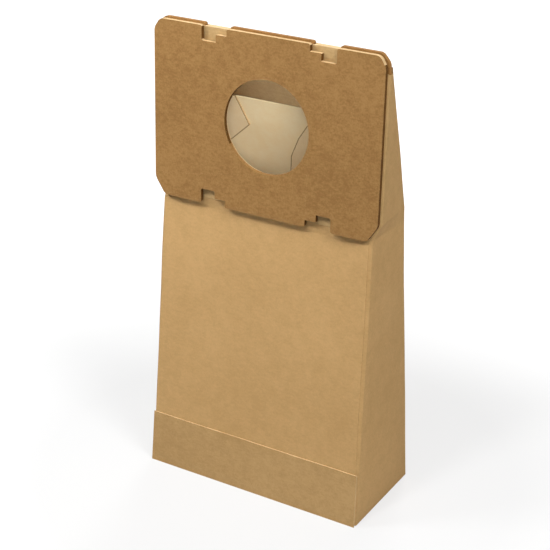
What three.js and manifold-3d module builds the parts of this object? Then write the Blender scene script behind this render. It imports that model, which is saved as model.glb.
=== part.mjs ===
// Vacuum dust bag: a block bag of kraft paper whose upper end is held between two collar cards.
// Millimetres, +X to the right, +Y to the back, +Z up. The origin is the centre of the footprint.
import * as THREE from 'three'
import { mergeVertices } from 'three/addons/utils/BufferGeometryUtils.js'
import Module from 'manifold-3d'

// Collar cards. The punched inlet and notches share one middle, a little to the right of the card's own
const cardWidth = 140
const cardHeight = 99.4
const cardThickness = 2.3
const inletDiameter = 52
const inletHeight = 50.3
const punchShift = 1.3
const upperCornerCut = { width: 5.2, height: 6.2 }
const lowerCornerCut = { width: 6.2, height: 9.2 }
const cutRadius = 2
// Notches: reach of each wall from the middle of the punching, and the two depths
const notchOuter = 40.9
const notchStep = 31.9
const notchInner = 25.2
const notchDeep = 8.2
const notchShallow = 4
const notchRadius = 1.3
const stepRadius = 0.4

// The bag as it stands opened out. Setbacks are measured from the foot of the front panel
const footWidth = 138.8
const footDepth = 63.5
const backFootInset = 0.3 // how far each side is drawn in at the back of the foot
const footPanelReveal = 1.5 // how far the side folds stand out beside the front panel, at its foot
const headPanelReveal = 1.7 // and at its head
const foldBesideCard = 2.4 // how far they stand out beside the cards' lower edge
const headBehindCard = 1
const headBelowCollar = 3.2
const waist = 0.9 // how far each side is drawn in at the kink, behind the head
const kinkHeight = 173.3
const kinkSetback = 55.4
const collarBase = 167.7
const collarSetback = 14.6
const collarLean = THREE.MathUtils.degToRad(2.5)
const sideWrap = 0.7
const rearCardRise = 0.7
const paperBelowCardTop = 0.9

// Paper, drawn thicker than the real sheet, and the clearances between pieces glued to each other
const paperThickness = 0.5
const plyThickness = 0.4
const glueLine = 0.3
const wrapClearance = 0.6
const inletMargin = 0.5
const cornerGroove = 0.9
const cornerSetback = 1.8
const collarFold = 1.2
const foldBulge = 0.3 // share of the fold that its middle stays away from the sharp corner
const flapThickness = 0.4
const flapStart = 2.3
const stripHeight = 31.9
const stripOverhang = 1.1
const seamWidth = 12
const cornerReveal = 0.8

// Inner ply: its edge in front and behind, and the creases of its folded corners as [x, distance below
// the edge], from the edge down
const plyBelowHead = 4.5
const plyBelowMouth = 39.8
const leftCrease = [[-31, 0], [-24.9, 18.8]]
const leftFoldDrop = 52
const rightCrease = [[21.7, 0], [5.7, 21.1], [-1.4, 33.9], [-4, 46]]
const rightFoldDrop = 46

const inletFacets = 72
const lap = 0.1 // how far joined layers of one sheet run into each other
const margin = 3 // how far a cutter runs past what it cuts

const wasm = await Module()
wasm.setup()

function toSolid(geometry) {
  const bare = geometry.clone()
  bare.deleteAttribute('normal')
  bare.deleteAttribute('uv')
  const merged = mergeVertices(bare, 1e-4)
  return new wasm.Manifold(new wasm.Mesh({
    numProp: 3,
    vertProperties: new Float32Array(merged.attributes.position.array),
    triVerts: new Uint32Array(merged.index.array),
  }))
}

function toGeometry(solid) {
  const mesh = solid.getMesh()
  const geometry = new THREE.BufferGeometry()
  geometry.setAttribute('position', new THREE.BufferAttribute(mesh.vertProperties, 3))
  geometry.setIndex(new THREE.BufferAttribute(mesh.triVerts, 1))
  return geometry
}

// A closed solid through rings of equal count, listed upwards, each anticlockwise from above
function loft(rings) {
  const count = rings[0].length
  const index = []
  for (let level = 0; level < rings.length - 1; level += 1) {
    for (let i = 0; i < count; i += 1) {
      const a = level * count + i
      const b = level * count + ((i + 1) % count)
      index.push(a, b, b + count, a, b + count, a + count)
    }
  }
  const capOf = (ring) => THREE.ShapeUtils.triangulateShape(ring.map((p) => new THREE.Vector2(p.x, p.y)), [])
  const top = (rings.length - 1) * count
  for (const [a, b, c] of capOf(rings[0])) index.push(a, c, b)
  for (const [a, b, c] of capOf(rings.at(-1))) index.push(top + a, top + b, top + c)
  const positions = rings.flat().flatMap((point) => point.toArray())
  const geometry = new THREE.BufferGeometry()
  geometry.setAttribute('position', new THREE.Float32BufferAttribute(positions, 3))
  geometry.setIndex(index)
  return geometry
}

// Moves every side of a ring inwards by the same distance, in plan
function insetRing(ring, distance) {
  return ring.map((point, i) => {
    const before = ring.at(i - 1)
    const after = ring[(i + 1) % ring.length]
    const sideIn = new THREE.Vector2(before.y - point.y, point.x - before.x).normalize()
    const sideOut = new THREE.Vector2(point.y - after.y, after.x - point.x).normalize()
    const mitre = distance / (1 + sideIn.dot(sideOut))
    const shift = sideIn.add(sideOut).multiplyScalar(mitre)
    return new THREE.Vector3(point.x + shift.x, point.y + shift.y, point.z)
  })
}

// Depths behind the front card's face, from front to back through the collar
const flapDepth = cardThickness + glueLine
const endPanelDepth = flapDepth + flapThickness
const rearCardDepth = endPanelDepth + paperThickness + glueLine
const backPanelDepth = rearCardDepth + cardThickness + glueLine + paperThickness
const paperTop = cardHeight - paperBelowCardTop

// Widths that follow the cards' or the foot's
const wrapWidth = cardWidth + 2 * sideWrap
const rearCardWidth = wrapWidth - 2 * (paperThickness + wrapClearance)
const headWidth = cardWidth - 2 * (lowerCornerCut.width - foldBesideCard)
const kinkWidth = headWidth - 2 * waist
const frontPanelHead = headWidth - 2 * headPanelReveal
const frontPanelFoot = footWidth - 2 * footPanelReveal

// A place on the collar: how far up the card, and how deep behind the front card's face
function onCollar(height, depth) {
  return {
    y: collarSetback + height * Math.sin(collarLean) + depth * Math.cos(collarLean),
    z: collarBase + height * Math.cos(collarLean) - depth * Math.sin(collarLean),
  }
}

// Stands a shape drawn on the card's plane up as a slab that leans with the collar
function collarSlab(shape, depth, thickness, rise = 0) {
  const slab = new THREE.ExtrudeGeometry(shape, { depth: thickness, bevelEnabled: false, curveSegments: 4 })
  slab.rotateX(Math.PI / 2)
  slab.translate(0, thickness + depth, rise)
  slab.rotateX(-collarLean)
  slab.translate(0, collarSetback, collarBase)
  return toSolid(slab)
}

// Pushes a profile of [y, z] points out to both sides of the middle plane
function sideSlab(profile, width) {
  const shape = new THREE.Shape(profile.map(([y, z]) => new THREE.Vector2(y, z)))
  const slab = new THREE.ExtrudeGeometry(shape, { depth: width, bevelEnabled: false })
  const across = new THREE.Vector3(1, 0, 0)
  const back = new THREE.Vector3(0, 1, 0)
  const up = new THREE.Vector3(0, 0, 1)
  slab.applyMatrix4(new THREE.Matrix4().makeBasis(back, up, across))
  slab.translate(-width / 2, 0, 0)
  return toSolid(slab)
}

// Outline with rounded corners, from a list of [x, y, radius]
function roundedShape(corners) {
  const shape = new THREE.Shape()
  corners.forEach(([x, y, radius], i) => {
    const towards = ([otherX, otherY]) => {
      const share = radius / Math.hypot(otherX - x, otherY - y)
      return new THREE.Vector2(x + (otherX - x) * share, y + (otherY - y) * share)
    }
    const start = towards(corners.at(i - 1))
    const end = towards(corners[(i + 1) % corners.length])
    if (i === 0) shape.moveTo(start.x, start.y)
    else shape.lineTo(start.x, start.y)
    shape.quadraticCurveTo(x, y, end.x, end.y)
  })
  shape.closePath()
  return shape
}

function inletCircle(diameter) {
  const points = Array.from({ length: inletFacets }, (_, i) => {
    const angle = (i * 2 * Math.PI) / inletFacets
    return new THREE.Vector2(
      punchShift + (diameter / 2) * Math.cos(angle),
      inletHeight + (diameter / 2) * Math.sin(angle),
    )
  })
  return points
}

// Collar cards: die-cut board with cut corners, a clip notch in two steps beside each corner, and the inlet
function notch(side, edge, inward) {
  return [
    [notchOuter, 0, notchRadius],
    [notchOuter, notchDeep, notchRadius],
    [notchStep, notchDeep, stepRadius],
    [notchStep, notchShallow, stepRadius],
    [notchInner, notchShallow, stepRadius],
    [notchInner, 0, notchRadius],
  ].map(([reach, into, radius]) => [punchShift + side * reach, edge + inward * into, radius])
}

function cardShape(width) {
  const half = width / 2
  const shape = roundedShape([
    [-half + lowerCornerCut.width, 0, cutRadius],
    ...notch(-1, 0, 1),
    ...notch(1, 0, 1).reverse(),
    [half - lowerCornerCut.width, 0, cutRadius],
    [half, lowerCornerCut.height, cutRadius],
    [half, cardHeight - upperCornerCut.height, cutRadius],
    [half - upperCornerCut.width, cardHeight, cutRadius],
    ...notch(1, cardHeight, -1),
    ...notch(-1, cardHeight, -1).reverse(),
    [-half + upperCornerCut.width, cardHeight, cutRadius],
    [-half, cardHeight - upperCornerCut.height, cutRadius],
    [-half, lowerCornerCut.height, cutRadius],
  ])
  shape.holes.push(new THREE.Path(inletCircle(inletDiameter)))
  return shape
}

const frontCard = collarSlab(cardShape(cardWidth), 0, cardThickness)
const rearCard = collarSlab(cardShape(rearCardWidth), rearCardDepth, cardThickness, rearCardRise)

// The bag's levels, from the foot to the mouth. At each, the front panel's edge stands proud of a groove,
// with the corner fold behind it. Beside the cards the fold is a plain rounded one.
function pinchedCorner(panelWidth, width, { y, z }) {
  return [
    new THREE.Vector3(panelWidth / 2, y, z),
    new THREE.Vector3(panelWidth / 2, y + cornerGroove, z),
    new THREE.Vector3(width / 2, y + cornerSetback, z),
  ]
}

function wrappedCorner(width, { y, z }) {
  return [
    new THREE.Vector3(width / 2 - collarFold, y, z),
    new THREE.Vector3(width / 2 - collarFold * foldBulge, y + collarFold * foldBulge, z),
    new THREE.Vector3(width / 2, y + collarFold, z),
  ]
}

function level(frontCorner, backCorner) {
  const right = [...frontCorner, backCorner]
  const left = right.map((point) => new THREE.Vector3(-point.x, point.y, point.z)).reverse()
  return [...right, ...left]
}

const head = { y: collarSetback + headBehindCard, z: collarBase - headBelowCollar }
const backFoot = new THREE.Vector3(footWidth / 2 - backFootInset, footDepth, 0)
const kink = new THREE.Vector3(kinkWidth / 2, kinkSetback, kinkHeight)
const mouth = onCollar(paperTop, backPanelDepth)
const backTop = new THREE.Vector3(wrapWidth / 2, mouth.y, mouth.z)
const wedgeBase = onCollar(lowerCornerCut.height, endPanelDepth)
const backAt = (z) => backFoot.clone().lerp(kink, z / wedgeBase.z)
const bagLevels = [
  level(pinchedCorner(frontPanelFoot, footWidth, { y: 0, z: 0 }), backFoot),
  level(pinchedCorner(frontPanelHead, headWidth, head), backAt(head.z)),
  level(wrappedCorner(headWidth, onCollar(0, endPanelDepth)), backAt(collarBase)),
  level(wrappedCorner(wrapWidth, wedgeBase), kink),
  level(wrappedCorner(wrapWidth, onCollar(paperTop, endPanelDepth)), backTop),
]

// The solid inside the bag's outer surface, with its floor raised and its top run on past the mouth
function bagInside(inset, overrun) {
  const rings = bagLevels.map((ring) => insetRing(ring, inset))
  rings[0].forEach((point) => { point.z = inset })
  rings.push(rings.at(-1).map((point) => new THREE.Vector3(point.x, point.y, point.z + overrun)))
  return toSolid(loft(rings))
}

// Where the front and back panels stand at a height
function frontPanelAt(z) {
  return { y: (head.y * z) / head.z, width: THREE.MathUtils.lerp(frontPanelFoot, frontPanelHead, z / head.z) }
}

function backPanelAt(z) {
  const share = (z - kink.z) / (backTop.z - kink.z)
  return kink.y + (backTop.y - kink.y) * share
}

// Outer bag: one folded sheet. Its foot flap is turned up over the front, the tube closes with a seam
// down the back, and the end panel behind the front card has a second flap glued over it.
function bottomStrip() {
  const ringAt = (z) => {
    const panel = frontPanelAt(z)
    const half = panel.width / 2 + stripOverhang
    const front = panel.y - paperThickness
    const back = panel.y + lap
    const corners = [[half, front], [half, back], [-half, back], [-half, front]]
    return corners.map(([x, y]) => new THREE.Vector3(x, y, z))
  }
  return toSolid(loft([ringAt(0), ringAt(stripHeight)]))
}

function backSeam() {
  const line = [backFoot, kink, backTop]
  const outside = line.map(({ y, z }) => [y + paperThickness, z])
  const inside = line.map(({ y, z }) => [y - lap, z]).reverse()
  return sideSlab([...outside, ...inside], seamWidth)
}

function endFlap() {
  const half = wrapWidth / 2 - collarFold
  const shape = new THREE.Shape([
    new THREE.Vector2(-half + lowerCornerCut.width, flapStart),
    new THREE.Vector2(half - lowerCornerCut.width, flapStart),
    new THREE.Vector2(half, lowerCornerCut.height + flapStart),
    new THREE.Vector2(half, paperTop),
    new THREE.Vector2(-half, paperTop),
    new THREE.Vector2(-half, lowerCornerCut.height + flapStart),
  ])
  return collarSlab(shape, flapDepth, flapThickness + lap)
}

// Cuts the paper back so that the rear card's upper corner shows
function cornerCutter(side) {
  const low = new THREE.Vector2(cardWidth / 2, cardHeight - upperCornerCut.height - cornerReveal)
  const high = new THREE.Vector2(cardWidth / 2 - upperCornerCut.width - cornerReveal, cardHeight)
  const along = high.clone().sub(low)
  const outside = new THREE.Vector2(cardWidth, cardHeight * 2)
  const points = [low.clone().sub(along), high.clone().add(along), outside]
  const shape = new THREE.Shape(points.map((point) => new THREE.Vector2(side * point.x, point.y)))
  return collarSlab(shape, -margin, backPanelDepth + 2 * margin)
}

function outerBag() {
  const inletCutter = new THREE.Shape(inletCircle(inletDiameter + 2 * inletMargin))
  return toSolid(loft(bagLevels))
    .add(bottomStrip())
    .add(backSeam())
    .add(endFlap())
    .subtract(bagInside(paperThickness, margin))
    .subtract(collarSlab(inletCutter, 0, endPanelDepth + paperThickness + lap))
    .subtract(cornerCutter(1))
    .subtract(cornerCutter(-1))
}

// Inner ply: a liner of paler filter paper that rises from under the collar to its edge on the back.
// Its upper corners are folded over and lie glued on the inside of the back.
const plyOutset = paperThickness + glueLine
const plyInset = plyOutset + plyThickness
const plyFrontHeight = head.z - plyBelowHead
const plyBackHeight = mouth.z - plyBelowMouth

// A corner folded flat on the back: bounded by its crease, the bag's side and the level of its foot
function foldedCorner(side, crease, foldDrop) {
  const reach = side * (kinkWidth / 2 - plyInset)
  const bottom = plyBackHeight - foldDrop
  const tilt = Math.atan2(backPanelAt(bottom) - backPanelAt(plyBackHeight), foldDrop)
  const outline = [[reach, 0], ...crease, [reach, foldDrop]].map(([x, drop]) => (
    new THREE.Vector2(x, (foldDrop - drop) / Math.cos(tilt))
  ))
  const shape = new THREE.Shape(outline)
  const slab = new THREE.ExtrudeGeometry(shape, { depth: plyThickness + lap, bevelEnabled: false })
  slab.rotateX(Math.PI / 2 + tilt)
  slab.translate(0, backPanelAt(bottom) - plyInset + lap, bottom)
  return toSolid(slab)
}

function innerPly() {
  const frontEdge = [frontPanelAt(plyFrontHeight).y + cornerSetback + 2 * plyInset, plyFrontHeight]
  const backEdge = [backPanelAt(plyBackHeight), plyBackHeight]
  const rise = [backEdge[0] - frontEdge[0], backEdge[1] - frontEdge[1]]
  const cutter = sideSlab([
    [frontEdge[0] - rise[0], frontEdge[1] - rise[1]],
    [backEdge[0] + rise[0], backEdge[1] + rise[1]],
    [frontEdge[0] - rise[0], backEdge[1] + rise[1]],
  ], wrapWidth + 2 * margin)
  const liner = bagInside(plyOutset, 0)
  return liner
    .subtract(bagInside(plyInset, margin))
    .add(foldedCorner(-1, leftCrease, leftFoldDrop).intersect(liner))
    .add(foldedCorner(1, rightCrease, rightFoldDrop).intersect(liner))
    .subtract(cutter)
}

// Materials and the assembly
const cardBoard = () => new THREE.MeshStandardMaterial({ color: 0x9f7c4e, roughness: 0.9, metalness: 0 })
const kraftPaper = new THREE.MeshStandardMaterial({ color: 0xb6966a, roughness: 0.85, metalness: 0 })
const filterPaper = new THREE.MeshStandardMaterial({ color: 0xd6bd94, roughness: 0.9, metalness: 0 })

function part(name, solid, material) {
  const mesh = new THREE.Mesh(toGeometry(solid), material)
  mesh.name = name
  return mesh
}

const dustBag = new THREE.Group()
dustBag.add(part('front_collar_card', frontCard, cardBoard()))
dustBag.add(part('rear_collar_card', rearCard, cardBoard()))
dustBag.add(part('outer_paper_bag', outerBag(), kraftPaper))
dustBag.add(part('inner_filter_ply', innerPly(), filterPaper))
dustBag.position.y = -footDepth / 2

export default dustBag
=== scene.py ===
from math import cos, exp, pi, radians, sin

import bmesh
import bpy
from mathutils import Euler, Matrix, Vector, noise


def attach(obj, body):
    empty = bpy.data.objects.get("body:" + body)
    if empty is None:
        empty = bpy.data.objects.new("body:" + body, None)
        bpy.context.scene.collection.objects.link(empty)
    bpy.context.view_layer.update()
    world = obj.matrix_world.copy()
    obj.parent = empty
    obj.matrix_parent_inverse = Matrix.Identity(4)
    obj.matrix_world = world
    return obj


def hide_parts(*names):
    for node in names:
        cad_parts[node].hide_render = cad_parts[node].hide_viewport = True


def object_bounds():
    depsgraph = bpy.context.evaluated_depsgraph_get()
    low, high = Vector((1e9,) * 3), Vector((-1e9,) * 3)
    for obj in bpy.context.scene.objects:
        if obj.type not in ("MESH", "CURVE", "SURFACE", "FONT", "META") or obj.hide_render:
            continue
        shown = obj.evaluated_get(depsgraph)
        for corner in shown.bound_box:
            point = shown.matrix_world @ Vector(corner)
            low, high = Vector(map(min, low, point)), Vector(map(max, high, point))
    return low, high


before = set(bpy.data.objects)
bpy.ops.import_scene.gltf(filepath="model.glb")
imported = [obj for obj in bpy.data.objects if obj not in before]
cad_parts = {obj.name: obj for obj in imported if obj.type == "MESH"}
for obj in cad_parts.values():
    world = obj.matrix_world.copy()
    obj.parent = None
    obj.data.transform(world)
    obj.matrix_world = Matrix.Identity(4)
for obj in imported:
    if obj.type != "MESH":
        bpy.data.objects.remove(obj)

cad_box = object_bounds()

# Camera: a long lens, above the bag and to its right, looking down on the collar. Its place, its turn and
# the focal length are those at which the bag's corners fall as they do in the reference view.
camera_data = bpy.data.cameras.new("camera")
camera_data.sensor_width = 36
camera_data.lens = 97.51
camera_data.clip_end = 20
camera = bpy.data.objects.new("camera", camera_data)
camera.location = (0.39144, -0.64531, 0.48331)
camera.rotation_euler = Euler((radians(90 - 25.327), radians(-0.016), radians(31.384)))
bpy.context.scene.collection.objects.link(camera)
bpy.context.scene.camera = camera

# Outer bag, the tube: one sheet of kraft paper folded into a block bag. Each front corner is pinched, so
# the front panel's edge stands proud of a groove. Above the lower panel the tube narrows to the collar.
MM = 0.001
FOOT_DEPTH = 63.5
PAPER = 0.5
LEAN = radians(2.5)
COLLAR_BASE = 167.7
COLLAR_SETBACK = 14.6
WRAP = 70.7
END_PANEL_DEPTH = 3.0
MOUTH_DEPTH = 6.9
PAPER_TOP = 98.5
FOLD_TOP = 9.2
HEAD_HEIGHT = 164.5


def at(x, y, z):
    """A place in millimetres, with y measured from the foot of the front panel."""
    return Vector((x, y - FOOT_DEPTH / 2, z)) * MM


def on_collar(x, height, depth):
    """A place on the collar: how far up the card, and how deep behind the front card's face."""
    return at(x, COLLAR_SETBACK + height * sin(LEAN) + depth * cos(LEAN),
              COLLAR_BASE + height * cos(LEAN) - depth * sin(LEAN))


def mirrored(right_half):
    """A whole ring of corners from those of its right half, listed from front to back."""
    return right_half + [Vector((-p.x, p.y, p.z)) for p in reversed(right_half)]


def deselect():
    bpy.ops.object.select_all(action="DESELECT")


def pick(piece):
    deselect()
    bpy.context.view_layer.objects.active = piece
    piece.select_set(True)


def sheet_from(name, outline, push):
    """A face through the outline's corners, pushed along a vector into a closed solid."""
    deselect()
    bpy.ops.mesh.primitive_circle_add(vertices=len(outline), fill_type="NGON")
    piece = bpy.context.object
    piece.name = name
    for vertex, place in zip(piece.data.vertices, outline):
        vertex.co = place
    bpy.ops.object.mode_set(mode="EDIT")
    bpy.ops.mesh.select_all(action="SELECT")
    bpy.ops.mesh.extrude_region_move(TRANSFORM_OT_translate={"value": push})
    return piece


def finish_editing(piece):
    bpy.ops.mesh.select_all(action="SELECT")
    bpy.ops.mesh.normals_make_consistent(inside=False)
    bpy.ops.object.mode_set(mode="OBJECT")


foot_back = at(69.1, FOOT_DEPTH, 0)
kink = at(65.3, 55.4, 173.3)
foot = [at(67.9, 0, 0), at(67.9, 0.9, 0), at(69.4, 1.8, 0), foot_back]
head = [at(64.5, 15.6, HEAD_HEIGHT), at(64.5, 16.5, HEAD_HEIGHT), at(66.2, 17.4, HEAD_HEIGHT),
        foot_back.lerp(kink, 0.9306)]
fold = [on_collar(x, 0, END_PANEL_DEPTH + d) for x, d in ((65.0, 0), (65.84, 0.36), (66.2, 1.2))]
fold.append(foot_back.lerp(kink, 0.9487))
wedge = [on_collar(x, FOLD_TOP, END_PANEL_DEPTH + d) for x, d in ((69.5, 0), (70.34, 0.36), (WRAP, 1.2))]
wedge.append(kink)
mouth = [on_collar(x, PAPER_TOP, END_PANEL_DEPTH + d) for x, d in ((69.5, 0), (70.34, 0.36), (WRAP, 1.2))]
mouth.append(on_collar(WRAP, PAPER_TOP, MOUTH_DEPTH))

bag = sheet_from("kraft_bag", mirrored(foot), (0, 0, 0))
below = mirrored(foot)
for number, ring in enumerate((head, fold, wedge, mouth)):
    if number:
        bpy.ops.mesh.extrude_region_move(TRANSFORM_OT_translate={"value": (0, 0, 0)})
    shape = bmesh.from_edit_mesh(bag.data)
    places = mirrored(ring)
    for vertex in shape.verts:
        if vertex.select:
            nearest = min(range(8), key=lambda i: (below[i] - vertex.co).length)
            vertex.co = places[nearest]
    bmesh.update_edit_mesh(bag.data)
    below = places
bpy.ops.mesh.delete(type="ONLY_FACE")
bpy.ops.mesh.select_all(action="SELECT")
bpy.ops.mesh.normals_make_consistent(inside=False)
bpy.ops.object.mode_set(mode="OBJECT")


def edit(piece):
    pick(piece)
    bpy.ops.object.mode_set(mode="EDIT")


edit(bag)
bpy.ops.mesh.select_all(action="DESELECT")
bpy.ops.mesh.edges_select_sharp(sharpness=radians(14))
bpy.ops.mesh.bevel(offset=0.35 * MM, segments=2, clamp_overlap=True)
bpy.ops.object.mode_set(mode="OBJECT")


def apply_modifier(piece, kind, **settings):
    pick(piece)
    modifier = piece.modifiers.new(kind.lower(), kind)
    for setting, value in settings.items():
        setattr(modifier, setting, value)
    bpy.ops.object.modifier_apply(modifier=modifier.name)


# Colours are given as they look on screen, from 0 to 255.
def tone(red, green, blue):
    shares = [channel / 255 for channel in (red, green, blue)]
    return tuple(s / 12.92 if s <= 0.04045 else ((s + 0.055) / 1.055) ** 2.4 for s in shares) + (1.0,)


def fibre_finish(name, pale, dark, grain=0.5, bump=0.12, roughness=0.85, shine_through=0.0):
    """Paper or board: fine grain over soft clouds, with short fibres. Grain is the grain's share of both."""
    material = bpy.data.materials.new(name)
    material.use_nodes = True
    nodes = material.node_tree.nodes
    links = material.node_tree.links
    shader = nodes["Principled BSDF"]
    shader.inputs["Roughness"].default_value = roughness
    shader.inputs["Specular IOR Level"].default_value = 0.25
    place = nodes.new("ShaderNodeTexCoord").outputs["Object"]

    def speckle(scale, detail, stretch=(1, 1, 1)):
        turned = nodes.new("ShaderNodeMapping")
        turned.inputs["Scale"].default_value = stretch
        links.new(place, turned.inputs["Vector"])
        texture = nodes.new("ShaderNodeTexNoise")
        texture.inputs["Scale"].default_value = scale
        texture.inputs["Detail"].default_value = detail
        links.new(turned.outputs["Vector"], texture.inputs["Vector"])
        return texture.outputs["Fac"]

    def weighted(first, first_share, second, second_share):
        scaled = nodes.new("ShaderNodeMath")
        scaled.operation = "MULTIPLY"
        links.new(first, scaled.inputs[0])
        scaled.inputs[1].default_value = first_share
        added = nodes.new("ShaderNodeMath")
        added.operation = "MULTIPLY_ADD"
        links.new(second, added.inputs[0])
        added.inputs[1].default_value = second_share
        links.new(scaled.outputs[0], added.inputs[2])
        return added.outputs[0]

    fine = weighted(speckle(1100, 3), 0.55, speckle(700, 2, (0.5, 1, 1)), 0.45)
    cloud = weighted(speckle(160, 4), 0.5, speckle(22, 3), 0.5)
    mixed = weighted(fine, grain, cloud, 1 - grain)
    spread = nodes.new("ShaderNodeMapRange")
    spread.inputs["From Min"].default_value = 0.41
    spread.inputs["From Max"].default_value = 0.59
    links.new(mixed, spread.inputs["Value"])
    blend = nodes.new("ShaderNodeMix")
    blend.data_type = "RGBA"
    blend.inputs["A"].default_value = dark
    blend.inputs["B"].default_value = pale
    links.new(spread.outputs["Result"], blend.inputs["Factor"])
    links.new(blend.outputs["Result"], shader.inputs["Base Color"])
    relief = nodes.new("ShaderNodeBump")
    relief.inputs["Strength"].default_value = bump
    relief.inputs["Distance"].default_value = 0.2 * MM
    links.new(fine, relief.inputs["Height"])
    links.new(relief.outputs["Normal"], shader.inputs["Normal"])
    if shine_through:
        through = nodes.new("ShaderNodeBsdfTranslucent")
        through.inputs["Color"].default_value = tone(240, 200, 146)
        links.new(relief.outputs["Normal"], through.inputs["Normal"])
        both = nodes.new("ShaderNodeMixShader")
        both.inputs["Fac"].default_value = shine_through
        links.new(shader.outputs["BSDF"], both.inputs[1])
        links.new(through.outputs["BSDF"], both.inputs[2])
        links.new(both.outputs["Shader"], nodes["Material Output"].inputs["Surface"])
    return material


kraft = fibre_finish("kraft_paper", tone(205, 169, 115), tone(189, 154, 101), shine_through=0.19)
kraft_edge = fibre_finish("kraft_cut_edge", tone(226, 196, 150), tone(209, 174, 124),
                          grain=0.6, bump=0.1, roughness=0.9)
# The inner face is paler than the outer face: partly the paper's own lighter side, partly painted light for
# the dim inside of the bag.
kraft_inside_and_painted_light = fibre_finish("kraft_inner_face_and_painted_light", tone(255, 222, 164), tone(242, 204, 148))
for finish in (kraft, kraft_edge, kraft_inside_and_painted_light):
    bag.data.materials.append(finish)
apply_modifier(bag, "SOLIDIFY", thickness=PAPER * MM, offset=-1, use_even_offset=True,
               material_offset=2, material_offset_rim=1)

# Outer bag, its glued layers: the foot strip turned up over the front, the seam down the back, and the
# flap behind the front card. Their cut edges are paler than the sheet's face.
LAP = 0.1
STRIP_TOP = 31.9
STRIP_BACK = 3.025 + LAP
SEAM_HALF = 6
INLET_X = 1.3
INLET_HEIGHT = 50.3


def edges_pale(piece, across, finish):
    """Gives the second finish to every face that doesn't look along the sheet's own thickness."""
    piece.data.materials.append(finish)
    piece.data.materials.append(kraft_edge)
    for face in piece.data.polygons:
        face.material_index = 0 if abs(face.normal.dot(across.normalized())) > 0.8 else 1


strip = sheet_from("foot_strip", [at(69.0, LAP, 0), at(-69.0, LAP, 0), at(-68.34, STRIP_BACK, STRIP_TOP),
                                  at(68.34, STRIP_BACK, STRIP_TOP)], (0, -(PAPER + LAP) * MM, 0))
finish_editing(strip)
# The foot strip's face is darker than the main sheet: painted shade.
strip_kraft_painted_shade = fibre_finish("strip_kraft_painted_shade", tone(182, 148, 99), tone(167, 133, 85))
edges_pale(strip, Vector((0, -1, 0.09)), strip_kraft_painted_shade)

mouth_back = on_collar(0, PAPER_TOP, MOUTH_DEPTH)
seam_line = [foot_back, kink, mouth_back]
outside = [Vector((-SEAM_HALF * MM, p.y + PAPER * MM, p.z)) for p in seam_line]
inside = [Vector((-SEAM_HALF * MM, p.y - LAP * MM, p.z)) for p in reversed(seam_line)]
seam = sheet_from("back_seam", outside + inside, (2 * SEAM_HALF * MM, 0, 0))
finish_editing(seam)
seam.data.materials.append(kraft)
seam.data.materials.append(kraft_edge)
for face in seam.data.polygons:
    face.material_index = 1 if abs(face.normal.x) > 0.8 else 0

flap_outline = [(-63.3, 2.3), (63.3, 2.3), (69.5, 11.5), (69.5, PAPER_TOP), (-69.5, PAPER_TOP), (-69.5, 11.5)]
flap_push = on_collar(0, 0, 0) - on_collar(0, 0, 0.5)
flap = sheet_from("end_flap", [on_collar(x, h, END_PANEL_DEPTH + LAP) for x, h in flap_outline], flap_push)
finish_editing(flap)
flap_kraft = fibre_finish("flap_kraft", tone(191, 159, 110), tone(176, 144, 97))
edges_pale(flap, flap_push, flap_kraft)


top_folds = []
for side in (-1, 1):
    left, right = sorted((INLET_X + side * 25.7, INLET_X + side * 40.4))
    front, back = END_PANEL_DEPTH + LAP, MOUTH_DEPTH - LAP
    corners = ((left, front), (right, front), (right, back), (left, back))
    fold_over = [on_collar(x, PAPER_TOP, depth) for x, depth in corners]
    top_fold = sheet_from("top_fold", fold_over, on_collar(0, 0, 0) - on_collar(0, 0.4, 0))
    finish_editing(top_fold)
    # The top fold takes the paler cut-edge finish on all its faces: painted light on the top of the mouth.
    top_fold.data.materials.append(kraft_edge)
    top_folds.append(top_fold)


def cut_away(piece, cutter):
    apply_modifier(piece, "BOOLEAN", operation="DIFFERENCE", object=cutter, solver="MANIFOLD")


bpy.ops.mesh.primitive_cylinder_add(vertices=96, radius=26.5 * MM, depth=3.6 * MM,
                                    location=on_collar(INLET_X, INLET_HEIGHT, 1.8),
                                    rotation=(radians(90) - LEAN, 0, 0))
inlet_cutter = bpy.context.object
inlet_cutter.data.materials.append(kraft_edge)
cut_away(bag, inlet_cutter)
cut_away(flap, inlet_cutter)
corner_cutters = []
for side in (-1, 1):
    outline = [on_collar(side * x, h, -3) for x, h in ((76, 82.4), (58, 103.4), (90, 130))]
    corner = sheet_from("corner_cutter", outline, on_collar(0, 0, 12) - on_collar(0, 0, 0))
    finish_editing(corner)
    cut_away(bag, corner)
    cut_away(flap, corner)
    corner_cutters.append(corner)
for cutter in (inlet_cutter, *corner_cutters):
    bpy.data.objects.remove(cutter)

deselect()
for layer in (strip, seam, flap, *top_folds, bag):
    layer.select_set(True)
bpy.context.view_layer.objects.active = bag
bpy.ops.object.join()


def cut_grid(piece, spacing, low, high):
    """Cuts every face along planes a set distance apart, so that the sheet can bend softly."""
    edit(piece)
    for axis in range(3):
        along = Vector((0, 0, 0))
        along[axis] = 1
        steps = int((high[axis] - low[axis]) / spacing)
        for step in range(1, steps + 1):
            bpy.ops.mesh.select_all(action="SELECT")
            bpy.ops.mesh.bisect(plane_co=Vector(low) + along * spacing * step, plane_no=along)
    bpy.ops.mesh.select_all(action="SELECT")
    bpy.ops.mesh.remove_doubles(threshold=0.06 * MM)
    bpy.ops.mesh.dissolve_degenerate(threshold=0.05 * MM)
    bpy.ops.object.mode_set(mode="OBJECT")


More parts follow.
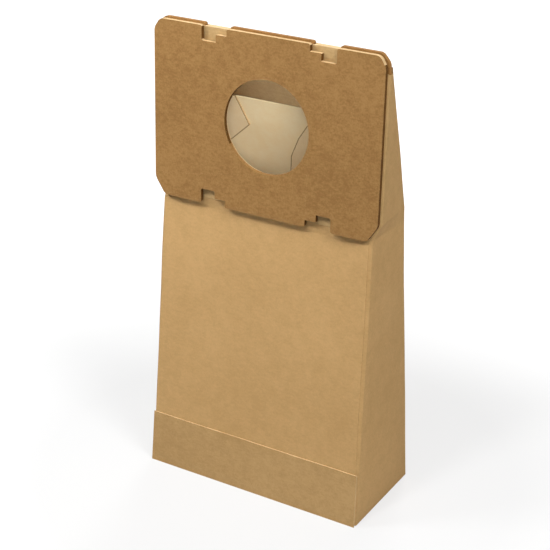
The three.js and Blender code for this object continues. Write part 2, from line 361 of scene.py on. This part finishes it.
# How far the opened-out paper leaves its flat panels, and where it is held. All places are in metres.
WAVE = 0.55 * MM
SWAY = 0.4 * MM
BOW = 1.0 * MM
HOLLOW = 1.1 * MM
RECESS = 2.0 * MM
PRESS = 2.2 * MM
HELD = 0.03
FOOT_FRONT = 0.0318
COLLAR_FOOT = 0.1677
KINK_HEIGHT = 0.1733
CREASE_FRONT = 0.0137
CREASE_BACK = 0.0237
SIDE_PANEL = 0.05


def ramp(share):
    return min(1, max(0, share))


def settle(point):
    """How opened-out paper stands: each panel bulges and dips a little, and the foot and collar don't."""
    x, y, z = point
    free = min(1, z / HELD) * ramp((0.166 - z) / HELD)
    above = ramp((z - 0.18) / HELD) * ramp((0.262 - z) / HELD) * ramp((y + 0.004) / 0.01)
    amount = max(free, above)
    wave = noise.noise(Vector((x * 18, y * 18 + 3, z * 14)))
    wave += 0.35 * noise.noise(Vector((x * 55, y * 55, z * 40 + 7)))
    sway = noise.noise(Vector((x * 16 + 11, y * 20, z * 18)))

    # The side panels bow outwards, and are drawn in below the wedge crease.
    crease = 0.1767 - 0.0034 * ramp((y + CREASE_FRONT) / 0.0374)
    under = max(0, (crease - z) / 0.012)
    pull = HOLLOW * (1 - exp(-under)) * exp(-under / 4) * min(1, z / 0.05)
    pull *= ramp((y + CREASE_FRONT) / 0.01) * (0.4 + 0.6 * ramp((CREASE_BACK - y) / 0.01))
    behind = y + FOOT_FRONT - 0.095 * z
    across = behind / (0.0635 - 0.142 * z)
    bow = BOW * sin(pi * ramp(across)) * free - pull if abs(x) > SIDE_PANEL else 0

    # The front panel goes back under the collar, and the upper corners are pressed to the rear card.
    recess = RECESS * min(1, z / 0.1645) ** 4 * ramp((0.013 - behind) / 0.01)
    recess *= ramp((COLLAR_FOOT - z) / 0.0032) * ramp((0.0665 - abs(x)) / 0.012)
    card_back = -0.01105 + 0.0437 * (z - COLLAR_FOOT)
    pressed = ramp((z - KINK_HEIGHT) / 0.0925) * ramp((abs(x) - 0.055) / 0.012)
    forward = min(PRESS * pressed, 0.8 * max(0, y - card_back - 0.0005))
    shift = Vector((bow if x > 0 else -bow, recess - forward, 0))
    return Vector((SWAY * sway, WAVE * wave, 0)) * amount + shift


low, high = cad_box
cut_grid(bag, 5 * MM, low, high)
for vertex in bag.data.vertices:
    vertex.co += settle(vertex.co)
pick(bag)
bpy.ops.object.shade_smooth_by_angle(angle=radians(28))
apply_modifier(bag, "WEIGHTED_NORMAL", keep_sharp=True)
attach(bag, "root")
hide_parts("outer_paper_bag")

# Inner ply: a liner of thin cream filter paper, open at the collar, with its upper corners folded over on the
# back. It is held by the bag's own folds. The folded corners are a little darker, with a fine dark rim round
# each, and the ply's cut top edge is dark: all painted shade.
filter_paper = fibre_finish("filter_paper", tone(255, 236, 192), tone(252, 228, 178),
                            grain=0.3, bump=0.15, roughness=0.9, shine_through=0.08)
folded_paper_painted_shade = fibre_finish("folded_filter_paper_painted_shade", tone(250, 228, 184), tone(244, 218, 170),
                            grain=0.3, bump=0.15, roughness=0.9, shine_through=0.08)
ply_crease_painted_shade = fibre_finish("filter_paper_crease_painted_shade", tone(190, 160, 116), tone(176, 146, 102),
                        grain=0.3, bump=0.1, roughness=0.9)
PLY_EDGE = 226.0
PLY_KINK = 173.5
PLY_INSIDE = 62
LEFT_FOLD = ((-31, 0), (-24.9, 18.8), (-64, 52))
RIGHT_FOLD = ((21.7, 0), (5.7, 21.1), (-1.4, 33.9), (-4, 46))


def crease_at(line, drop):
    """How far across the crease lies at a distance below the ply's edge, or nothing past its ends."""
    for (x0, drop0), (x1, drop1) in zip(line, line[1:]):
        if drop0 <= drop <= drop1:
            return x0 + (x1 - x0) * (drop - drop0) / (drop1 - drop0)
    return None


def folded_over(x, drop):
    left, right = crease_at(LEFT_FOLD, drop), crease_at(RIGHT_FOLD, drop)
    return (left is not None and x < left) or (right is not None and x > right)


ply = bpy.data.objects.new("cream_ply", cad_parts["inner_filter_ply"].data.copy())
bpy.context.scene.collection.objects.link(ply)
ply.data.materials.clear()
ply.data.materials.append(filter_paper)
edit(ply)
bpy.ops.mesh.select_all(action="SELECT")
bpy.ops.mesh.remove_doubles(threshold=0.001 * MM)
bpy.ops.mesh.dissolve_limited(angle_limit=radians(0.3))
bpy.ops.object.mode_set(mode="OBJECT")
cut_grid(ply, 4 * MM, low, high)
for vertex in ply.data.vertices:
    x, y, z = vertex.co
    under_crease = ramp((z - 0.08) / 0.03) * ramp((0.2 - z) / 0.015)
    clear_of_bag = 0.6 * MM * under_crease * ramp((abs(x) - 0.055) / 0.008)
    vertex.co += settle(vertex.co) - Vector((clear_of_bag if x > 0 else -clear_of_bag, 0, 0))
pick(ply)
bpy.ops.object.shade_smooth_by_angle(angle=radians(5))
for finish in (folded_paper_painted_shade, ply_crease_painted_shade):
    ply.data.materials.append(finish)
# Painted shade: the ply's cut edges and step faces on the back take the dark crease finish, and the
# folded-over corners take the slightly darker folded finish.
for face in ply.data.polygons:
    x, y, z = face.center / MM
    on_back = z > PLY_KINK and y > -4
    if on_back and face.normal.y > -0.7 and abs(x) < PLY_INSIDE:
        face.material_index = 2 if face.normal.y < 0.5 else 0
    elif on_back and face.normal.y < 0:
        face.material_index = 1 if folded_over(x, PLY_EDGE - z) else 0
for corner in {corner for face in ply.data.polygons if face.material_index == 1 for corner in face.vertices}:
    ply.data.vertices[corner].co.y -= 0.4 * MM
edit(ply)
bpy.ops.mesh.select_mode(type="FACE")
bpy.ops.mesh.select_all(action="DESELECT")
bpy.ops.object.mode_set(mode="OBJECT")
for face in ply.data.polygons:
    face.select = face.material_index == 1
edit(ply)
bpy.ops.mesh.inset(thickness=0.6 * MM, depth=0)
bpy.ops.object.mode_set(mode="OBJECT")
# The inset rim round each folded corner takes the dark crease finish: a painted shade line.
for face in ply.data.polygons:
    if face.material_index == 1 and not face.select:
        face.material_index = 2
edit(ply)
bpy.ops.mesh.select_mode(type="VERT")
bpy.ops.object.mode_set(mode="OBJECT")
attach(ply, "root")
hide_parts("inner_filter_ply")

# Collar cards: two die-cut plates of brown fibre board, glued to the paper between them. The die rounds the
# cut edges a little. On the front card the upper cut edges and the rounded edges take a paler finish, partly
# the board's own paler cut and partly painted highlight; its other cut walls, which look sideways or down,
# take a darker finish, which is painted shade.
CHAMFER_FROM = 0.062
CARD_SIDE = 0.067
CHAMFER_FOOT = 0.258
board = fibre_finish("collar_board", tone(159, 120, 70), tone(137, 100, 54),
                     grain=0.6, bump=0.25, roughness=0.8)
board_edge_and_highlight = fibre_finish("collar_cut_edge_and_painted_highlight", tone(221, 189, 141), tone(203, 169, 117),
                          grain=0.6, bump=0.2, roughness=0.9)
board_wall_painted_shade = fibre_finish("collar_cut_wall_painted_shade", tone(106, 71, 22), tone(86, 55, 15),
                          grain=0.6, bump=0.2, roughness=0.9)
rear_board = fibre_finish("rear_collar_board", tone(166, 121, 67), tone(143, 102, 53),
                          grain=0.6, bump=0.25, roughness=0.8)


def collar_card(name, node, face_finish, edge_and_highlight_finish, wall_painted_shade_finish, wider_inlet=0.0):
    card = bpy.data.objects.new(name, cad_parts[node].data.copy())
    bpy.context.scene.collection.objects.link(card)
    edit(card)
    bpy.ops.mesh.select_all(action="SELECT")
    bpy.ops.mesh.remove_doubles(threshold=0.001 * MM)
    bpy.ops.mesh.dissolve_limited(angle_limit=radians(0.3))
    bpy.ops.object.mode_set(mode="OBJECT")
    for vertex in card.data.vertices:
        x, z = abs(vertex.co.x), vertex.co.z
        outward = 1 if vertex.co.x > 0 else -1
        if z > CHAMFER_FOOT and CHAMFER_FROM < x < CARD_SIDE:
            vertex.co.x += outward * 1.3 * MM
        elif z > CHAMFER_FOOT and x >= CARD_SIDE:
            vertex.co.z += 1.1 * MM
        if wider_inlet and x > CARD_SIDE:
            vertex.co.x += outward * 0.5 * MM
    if wider_inlet:
        bpy.ops.mesh.primitive_cylinder_add(vertices=96, radius=wider_inlet * MM, depth=6 * MM,
                                            location=on_collar(INLET_X, INLET_HEIGHT, 5),
                                            rotation=(radians(90) - LEAN, 0, 0))
        opening = bpy.context.object
        cut_away(card, opening)
        bpy.data.objects.remove(opening)
    card.data.materials.clear()
    for finish in (face_finish, edge_and_highlight_finish, wall_painted_shade_finish):
        card.data.materials.append(finish)
    facing = Vector((0, -cos(LEAN), sin(LEAN)))
    # Upward cut walls take the paler edge finish, a painted highlight; the other cut walls take the darker
    # finish, painted shade.
    for face in card.data.polygons:
        wall = 1 if face.normal.z > 0.5 else 2
        face.material_index = 0 if abs(face.normal.dot(facing)) > 0.5 else wall
        if wall == 1 and (face.center - on_collar(INLET_X, INLET_HEIGHT, 1)).length < 0.03:
            face.material_index = 0
    edit(card)
    bpy.ops.mesh.select_all(action="DESELECT")
    bpy.ops.mesh.edges_select_sharp(sharpness=radians(40))
    # The rounded edges take the paler edge finish, partly painted highlight.
    bpy.ops.mesh.bevel(offset=0.28 * MM, segments=2, clamp_overlap=True, material=1)
    bpy.ops.object.mode_set(mode="OBJECT")
    # Faces that look down, rounded edges included, take the darker wall finish: painted shade.
    for face in card.data.polygons:
        if face.normal.z < -0.2:
            face.material_index = 2
    pick(card)
    bpy.ops.object.shade_smooth_by_angle(angle=radians(20))
    apply_modifier(card, "WEIGHTED_NORMAL", keep_sharp=True)
    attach(card, "root")
    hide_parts(node)


collar_card("front_card", "front_collar_card", board, board_edge_and_highlight, board_wall_painted_shade)
collar_card("rear_card", "rear_collar_card", rear_board, rear_board, rear_board, wider_inlet=28.8)

# Studio: a white floor and a white backdrop, which the camera alone sees as white, a soft key lamp high in
# front, smaller lamps round the bag, and one that lights only the inner ply, for the light inside the hole.
deselect()
bpy.ops.mesh.primitive_plane_add(size=12, location=(0, 0, 0))
floor = bpy.context.object
floor.name = "floor"
white = bpy.data.materials.new("floor_white")
white.use_nodes = True
floor_nodes = white.node_tree.nodes
floor_shader = floor_nodes["Principled BSDF"]
floor_shader.inputs["Roughness"].default_value = 1.0
floor_shader.inputs["Specular IOR Level"].default_value = 0.0
floor_shader.inputs["Emission Color"].default_value = (1, 1, 1, 1)
floor_links = white.node_tree.links
seen = floor_nodes.new("ShaderNodeLightPath").outputs["Is Camera Ray"]
washed = floor_nodes.new("ShaderNodeMix")
washed.data_type = "RGBA"
washed.inputs["A"].default_value = (0.6, 0.6, 0.6, 1)
washed.inputs["B"].default_value = (0.22, 0.22, 0.22, 1)
floor_links.new(seen, washed.inputs["Factor"])
floor_links.new(washed.outputs["Result"], floor_shader.inputs["Base Color"])
away = floor_nodes.new("ShaderNodeVectorMath")
away.operation = "LENGTH"
floor_links.new(floor_nodes.new("ShaderNodeTexCoord").outputs["Object"], away.inputs[0])
glow = floor_nodes.new("ShaderNodeMapRange")
glow.inputs["From Min"].default_value = 0.14
glow.inputs["From Max"].default_value = 0.42
glow.inputs["To Min"].default_value = 0.68
glow.inputs["To Max"].default_value = 1.0
floor_links.new(away.outputs["Value"], glow.inputs["Value"])
lift = floor_nodes.new("ShaderNodeMath")
lift.operation = "MULTIPLY"
floor_links.new(glow.outputs["Result"], lift.inputs[0])
floor_links.new(seen, lift.inputs[1])
floor_links.new(lift.outputs[0], floor_shader.inputs["Emission Strength"])
floor.data.materials.append(white)

world = bpy.data.worlds.new("studio")
world.use_nodes = True
sky = world.node_tree.nodes["Background"]
sky.inputs["Color"].default_value = (1, 1, 1, 1)
sky_links = world.node_tree.links
backdrop = world.node_tree.nodes.new("ShaderNodeMath")
backdrop.operation = "MULTIPLY_ADD"
sky_links.new(world.node_tree.nodes.new("ShaderNodeLightPath").outputs["Is Camera Ray"], backdrop.inputs[0])
backdrop.inputs[1].default_value = 0.98
backdrop.inputs[2].default_value = 0.02
sky_links.new(backdrop.outputs[0], sky.inputs["Strength"])
bpy.context.scene.world = world


def soft_lamp(name, azimuth, elevation, distance, width, watts):
    """A round lamp aimed at the bag. Azimuth 0 is straight in front, and grows to the right."""
    data = bpy.data.lights.new(name, "AREA")
    data.shape = "DISK"
    data.size = width
    data.energy = watts
    lamp = bpy.data.objects.new(name, data)
    turn, rise = radians(azimuth), radians(elevation)
    away = Vector((sin(turn) * cos(rise), -cos(turn) * cos(rise), sin(rise)))
    lamp.location = Vector((0, 0, 0.14)) + away * distance
    lamp.rotation_euler = away.to_track_quat("Z", "Y").to_euler()
    bpy.context.scene.collection.objects.link(lamp)
    return lamp


soft_lamp("key_lamp", -14, 57, 2.5, 0.4, 23.0)
soft_lamp("left_lamp", -50, 45, 0.5, 0.15, 1.28)
soft_lamp("front_lamp", 8, 45, 1.4, 0.8, 1.9)
soft_lamp("side_lamp", 68, 46, 1.6, 0.6, 18.3)
soft_lamp("back_lamp", 195, 32, 2.0, 0.8, 17.0)
inlet_lamp = soft_lamp("inlet_lamp", 44, 26, 1.6, 1.1, 28.0)
lit_inside = bpy.data.collections.new("lit_inside")
lit_inside.objects.link(ply)
inlet_lamp.light_linking.receiver_collection = lit_inside

bpy.context.scene.view_settings.view_transform = "Standard"
